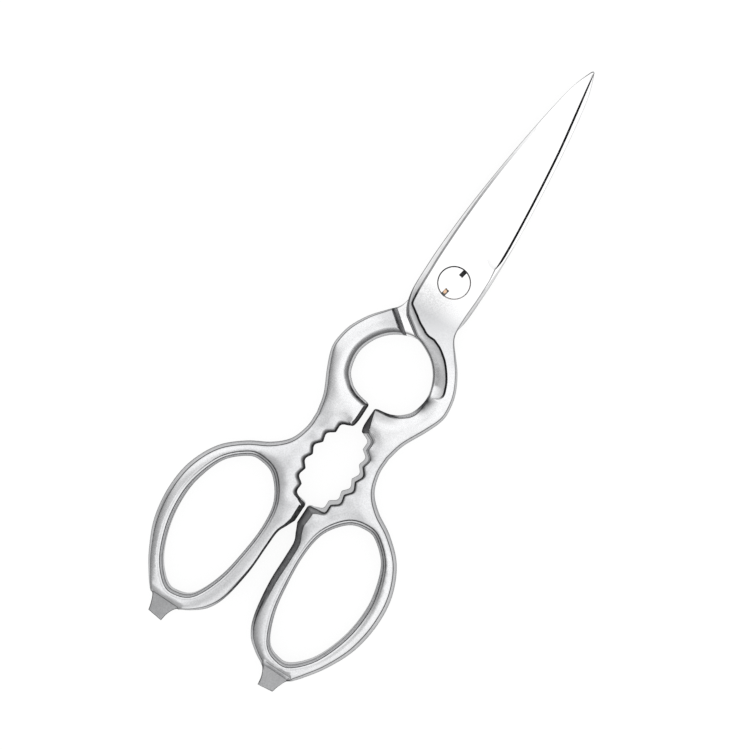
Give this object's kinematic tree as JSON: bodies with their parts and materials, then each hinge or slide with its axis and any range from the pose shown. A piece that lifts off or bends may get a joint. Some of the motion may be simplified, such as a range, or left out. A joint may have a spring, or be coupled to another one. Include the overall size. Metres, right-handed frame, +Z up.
{
  "type": "kitchen shears",
  "caption": "Forged take-apart kitchen shears with a toothed jaw, a round grip opening, screwdriver tabs and closed finger loops, joined by a notched pivot stud.",
  "frame": {"origin": "centre of the underside of the closed shears' box", "axes": "+Y along the shears towards the blade tips, +Z up out of the face with the stud head, +X to the right of that face"},
  "size_m": [0.0732, 0.2038, 0.008],
  "materials": {
    "satin_steel": "satin handles with ground and polished blades",
    "polished_steel": "polished"
  },
  "bodies": {
    "rear": {"rear_half": "satin_steel", "pivot_stud": "polished_steel"},
    "front": {"front_half": "satin_steel"}
  },
  "joints": [
    {"name": "shear_pivot", "type": "hinge", "parent": "rear", "child": "front", "pos_m": [0, 0.02775, 0.004], "axis": [0, 0, 1], "range_deg": [-0.4, 105]}
  ]
}
